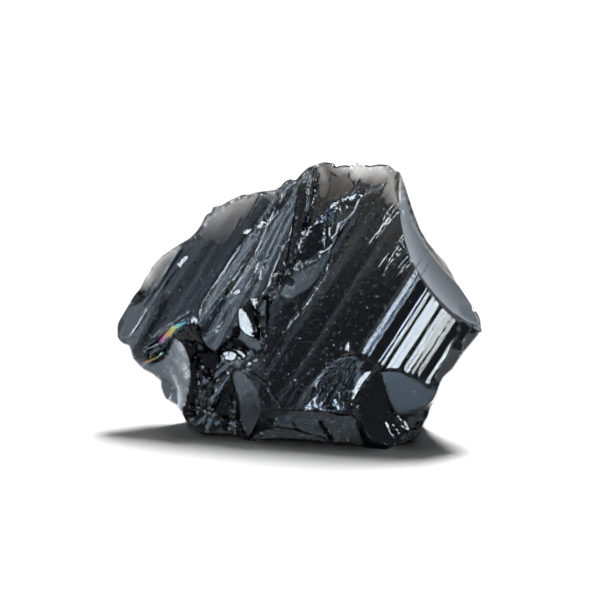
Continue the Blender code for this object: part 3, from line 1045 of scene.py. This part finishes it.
# ---- the looks ----
# Roughness of each part of the surface: outline, roughness, softness of the border in mm.
SKINS = [
    (LEFT_FACE, 0.13, 1),
    (FAN_FIELD, 0.15, 0.6),
    (FACETS["scallop"][0], 0.17, 0.3),
    (FACETS["lens"][0], 0.24, 0.5),
    (FACETS["crescent"][0], 0.16, 0.3),
    (FACETS["bowl_flat"][0], 0.16, 0.6),
    (FACETS["foot_strip"][0], 0.16, 0.3),
    (px(330,170, 398,170, 412,214, 420,250, 385,290, 340,300, 350,240), 0.14, 6),
]
GLOSS = 0.09
POLISH = 0.05
# Spacing and length of the fine ridges, in mm, and how strong they are on each part.
GRAIN_SPACING = 0.34
GRAIN_LENGTH = 8
GRAIN_PLAIN = 0.35
GRAIN_STRIPES = 0.45
GRAIN_HATCH = 3
GRAIN_FAN = 1.2
GRAIN_SCALLOP = 0.5
# The ridges across the left end of the band: where they end, and how they are squeezed.
HATCH_END = -5
HATCH_SHARE = 0.45
HATCH_LENGTH = 3
TURN_SPACING = 25
# Where the surface carries a thin film that colours its reflection: outline and thickness in nm at
# its left and right ends.
FILMS = [(FACETS["crack"][0], 348, 168), (FACETS["crack_low"][0], 268, 200)]


def grain_of(s, t, u, v, striped):
    """How far a point is across and along the fine ridges, and how strong they are there."""
    hatched = striped & (s < HATCH_END)
    fine = np.where(hatched, t * HATCH_SHARE, s)
    long = np.where(hatched, s * HATCH_LENGTH, t)
    strength = np.where(hatched, GRAIN_HATCH, np.where(striped, GRAIN_STRIPES, GRAIN_PLAIN))
    reach, turn = around(u, v, FAN_APEX)
    in_fan = outline_distance(u, v, FAN_FIELD) < 0
    fine = np.where(in_fan, turn * TURN_SPACING, fine)
    long = np.where(in_fan, reach, long)
    strength = np.where(in_fan, GRAIN_FAN, strength)
    reach, turn = around(u, v, SCALLOP_CENTRE)
    in_scallop = outline_distance(u, v, FACETS["scallop"][0]) < 0
    fine = np.where(in_scallop, reach, fine)
    long = np.where(in_scallop, turn * TURN_SPACING, long)
    strength = np.where(in_scallop, GRAIN_SCALLOP, strength)
    return fine / GRAIN_SPACING, long / GRAIN_LENGTH, strength


def looks_of(u, v):
    """Roughness, film thickness and fine ridges at each point, for the material."""
    rough = np.full(u.shape, GLOSS)
    for outline, value, border in SKINS:
        rough = rough + mask_of(u, v, outline, border) * (value - rough)
    # what mirrors a light crisply is polished
    for outline, *_ in [FACETS["mirror"], FACETS["mirror_top"], *sum(GLINTS.values(), [])]:
        rough = np.where(outline_distance(u, v, outline) < 0.2, POLISH, rough)
    for line, width, *_ in [*BLADES.values(), *CHIP_ROWS.values()]:
        rough = np.where(line_distance(u, v, line)[0] < width + 0.1, POLISH, rough)
    s, t = across(u, v, STRIPE_ORIGIN, STRIPE_SLANT)
    banded = (s < BAND_RIGHT) & (outline_distance(u, v, SHOULDER) > 0)
    polished = banded & (s > BAND_LEFT - 0.1) & (v > -18)
    rough = np.where(polished, np.minimum(rough, POLISH), rough)
    film = np.zeros(u.shape)
    for outline, left, right in FILMS:
        ends = [min(p[0] for p in outline), max(p[0] for p in outline)]
        film = np.maximum(film, np.interp(u, ends, [left, right]) * (outline_distance(u, v, outline) < 0.15))
    fine, long, strength = grain_of(s, t, u, v, banded & (s > BAND_LEFT))
    return {"rough": rough, "film": film, "grain_across": fine, "grain_along": long, "grain": strength}


WHITE = (1, 1, 1, 1)
# The glass, and the crumbs of dust on it.
GLASS_IOR = 1.49
FILM_IOR = 1.95
# a cool tint painted onto every reflection of the glass, in place of bluish light around the stone
PAINTED_COOL_REFLECTION = (0.80, 0.91, 1, 1)
SMOKE = (0.03, 0.015, 0, 1)
ABSORPTION = 1150  # per metre
CRUMB_SHARE = 0.35
CRUMB_ROUGHNESS = 0.35


def feed(tree, node, inputs):
    """Gives each input of a node its value, or the socket that feeds it."""
    for key, value in inputs.items():
        if isinstance(value, bpy.types.NodeSocket):
            tree.links.new(value, node.inputs[key])
        else:
            node.inputs[key].default_value = value


def add_node(tree, kind, inputs, **settings):
    """Makes a shader node, feeds it and gives its outputs."""
    made = tree.nodes.new("ShaderNode" + kind)
    for key, value in settings.items():
        setattr(made, key, value)
    feed(tree, made, inputs)
    return made.outputs


def glass_material():
    material = bpy.data.materials.new("volcanic_glass")
    material.use_nodes = True
    tree = material.node_tree

    def node(kind, inputs, **settings):
        return add_node(tree, kind, inputs, **settings)[0]

    def painted(name):
        return add_node(tree, "Attribute", {}, attribute_name=name)["Fac"]

    def times(one, other):
        return node("Math", {0: one, 1: other}, operation="MULTIPLY")

    def ramp(value, low, high, start, end):
        limits = {"From Min": low, "From Max": high, "To Min": start, "To Max": end}
        return node("MapRange", {"Value": value, **limits})

    place = add_node(tree, "TexCoord", {})["Object"]
    along = node("CombineXYZ", {0: painted("grain_across"), 1: painted("grain_along")})
    fine = node("TexNoise", {"Vector": along, "Scale": 1, "Detail": 2, "Roughness": 0.6})
    mottle = node("TexNoise", {"Vector": place, "Scale": 1600, "Detail": 3, "Roughness": 0.6})
    cells = add_node(tree, "TexVoronoi", {"Vector": place, "Scale": 750})
    crumb = ramp(cells["Distance"], 0.10, 0.16, 1, 0)
    pick = node("SeparateColor", {"Color": cells["Color"]})
    chosen = node("Math", {0: pick, 1: CRUMB_SHARE}, operation="LESS_THAN")
    rough = painted("rough")
    unpolished = ramp(rough, POLISH, GLOSS, 0, 1)
    crumbs = times(times(crumb, chosen), unpolished)
    worn = times(rough, ramp(mottle, 0.3, 0.7, 0.94, 1.07))
    dusty = node("Math", {0: worn, 1: times(crumbs, CRUMB_ROUGHNESS)}, operation="ADD", use_clamp=True)
    ridges = times(fine, painted("grain"))
    striae = node("Bump", {"Height": ridges, "Distance": 0.00002, "Strength": 1})
    relief = node("Bump", {"Height": crumbs, "Distance": 0.00006, "Strength": 1, "Normal": striae})

    feed(tree, tree.nodes["Principled BSDF"], {
        "Base Color": WHITE,
        "Transmission Weight": 1,
        "IOR": GLASS_IOR,
        "Specular Tint": PAINTED_COOL_REFLECTION,
        "Roughness": dusty,
        "Normal": relief,
        "Thin Film Thickness": painted("film"),
        "Thin Film IOR": FILM_IOR,
    })
    absorb = node("VolumeAbsorption", {"Color": SMOKE, "Density": ABSORPTION})
    feed(tree, tree.nodes["Material Output"], {"Volume": absorb})
    return material


# ---- floor, light and camera ----
def link(thing):
    bpy.context.scene.collection.objects.link(thing)
    return thing


FLOOR_WHITE = (0.9, 0.9, 0.9, 1)
FLOOR_DROP = 0.0002  # keeps the floor off the stone's underside


def add_floor():
    side = 6
    mesh = bpy.data.meshes.new("floor")
    corners = [(-side, -side, 0), (side, -side, 0), (side, side, 0), (-side, side, 0)]
    mesh.from_pydata(corners, [], [(0, 1, 2, 3)])
    floor = link(bpy.data.objects.new("floor", mesh))
    floor.location.z = -FLOOR_DROP
    material = bpy.data.materials.new("floor_white")
    material.use_nodes = True
    tree = material.node_tree
    looks = {"Base Color": FLOOR_WHITE, "Roughness": 0.9, "Specular IOR Level": 0}
    feed(tree, tree.nodes["Principled BSDF"], looks)
    mesh.materials.append(material)
    floor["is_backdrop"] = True


BOX_DISTANCE = 800
# Lights seen only in reflections: azimuth, elevation, width and height from the stone in degrees,
# radiance and colour.
SOFTBOXES = {
    "front_box": (-1.5, 15, 15, 17, 22, (1, 1, 1)),
    "blue_card": (-11.5, 15, 5, 17, 7, (0.45, 0.62, 1)),
    "warm_card": (9.5, 15, 7, 17, 17, (1, 0.95, 0.86)),
    "low_card": (-26, 4, 18, 7, 3.3, (0.72, 0.86, 1)),
    "left_panel": (-49, 32, 28, 36, 0.82, (0.82, 0.90, 1)),
    "left_screen": (-70, 28, 26, 56, 2.6, (0.84, 0.91, 1)),
    "brown_card": (-26, 41, 17, 20, 0.9, (1, 0.80, 0.62)),
    "fan_card": (-50, 35, 14, 22, 0.85, (0.82, 0.89, 1)),
    "streak_strip": (-60, 42, 3.5, 24, 9, (0.86, 0.93, 1)),
    "left_strip": (-89, 30, 12, 50, 16, (1, 1, 1)),
    "rear_panel": (122, 22, 50, 46, 1.7, (0.84, 0.93, 1)),
}
# Soft lights over the stone: tilt towards the camera's side and to one side, angle across, energy.
OVERHEADS = {"overhead_narrow": (-25, 11, 16, 4.4), "overhead_wide": (-24, -2, 64, 0.55)}


def softbox(name, azimuth, elevation, wide, high, radiance, colour):
    """A rectangle of light that faces the stone and shows only in reflections and through glass."""
    light = bpy.data.lights.new(name, "AREA")
    light.shape = "RECTANGLE"
    light.size = 2 * BOX_DISTANCE * math.tan(math.radians(wide / 2)) * MM
    light.size_y = 2 * BOX_DISTANCE * math.tan(math.radians(high / 2)) * MM
    light.energy = radiance * math.pi * light.size * light.size_y
    light.color = colour
    lamp = link(bpy.data.objects.new(name, light))
    out = facing(azimuth, elevation)
    lamp.location = (AIM + out * BOX_DISTANCE) * MM
    lamp.rotation_euler = Vector(out).to_track_quat("Z", "Y").to_euler()
    lamp.visible_diffuse = False


def overhead(name, tilt, side, angle, energy):
    sun = bpy.data.lights.new(name, "SUN")
    sun.angle = math.radians(angle)
    sun.energy = energy
    link(bpy.data.objects.new(name, sun)).rotation_euler = (math.radians(tilt), math.radians(side), 0)


def add_lights():
    for name, numbers in OVERHEADS.items():
        overhead(name, *numbers)
    for name, numbers in SOFTBOXES.items():
        softbox(name, *numbers)


REFLECTED_GREY = (0.27, 0.285, 0.32, 1)
FAINT = 0.03  # how strong the world is as a light


def add_world():
    """White to the eye and through the glass, grey in reflections, and almost no light of its own."""
    world = bpy.data.worlds.new("studio")
    bpy.context.scene.world = world
    world.use_nodes = True
    tree = world.node_tree
    rays = add_node(tree, "LightPath", {})
    white = add_node(tree, "Background", {"Color": WHITE})[0]
    grey = add_node(tree, "Background", {"Color": REFLECTED_GREY})[0]
    faint = add_node(tree, "Background", {"Strength": FAINT})[0]
    outside = add_node(tree, "Math", {0: 1, 1: rays["Is Transmission Ray"]}, operation="SUBTRACT")[0]
    mirrored = add_node(tree, "Math", {0: rays["Is Glossy Ray"], 1: outside}, operation="MULTIPLY")[0]
    seen = add_node(tree, "MixShader", {"Fac": mirrored, 1: white, 2: grey})[0]
    lit = add_node(tree, "MixShader", {"Fac": rays["Is Diffuse Ray"], 1: seen, 2: faint})[0]
    feed(tree, tree.nodes["World Output"], {"Surface": lit})


def add_camera():
    camera = bpy.data.cameras.new("camera")
    camera.lens = LENS
    camera.sensor_width = SENSOR
    camera.clip_start = 0.01
    camera.clip_end = 100
    holder = link(bpy.data.objects.new("camera", camera))
    holder.location = EYE * MM
    holder.rotation_euler = (math.radians(90 - ELEVATION), 0, 0)
    bpy.context.scene.camera = holder


def add_stone():
    mesh = stone_mesh()
    mesh.materials.append(glass_material())
    stone = link(bpy.data.objects.new(NAME, mesh))
    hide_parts("obsidian_chunk")
    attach(stone, "root")


bpy.context.scene.view_settings.view_transform = "Standard"
add_camera()
add_floor()
add_lights()
add_world()
add_stone()

visual_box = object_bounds()
boxes = {"cad": cad_box, "visual": visual_box}
{k: [[float(x) for x in corner] for corner in box] for k, box in boxes.items()}
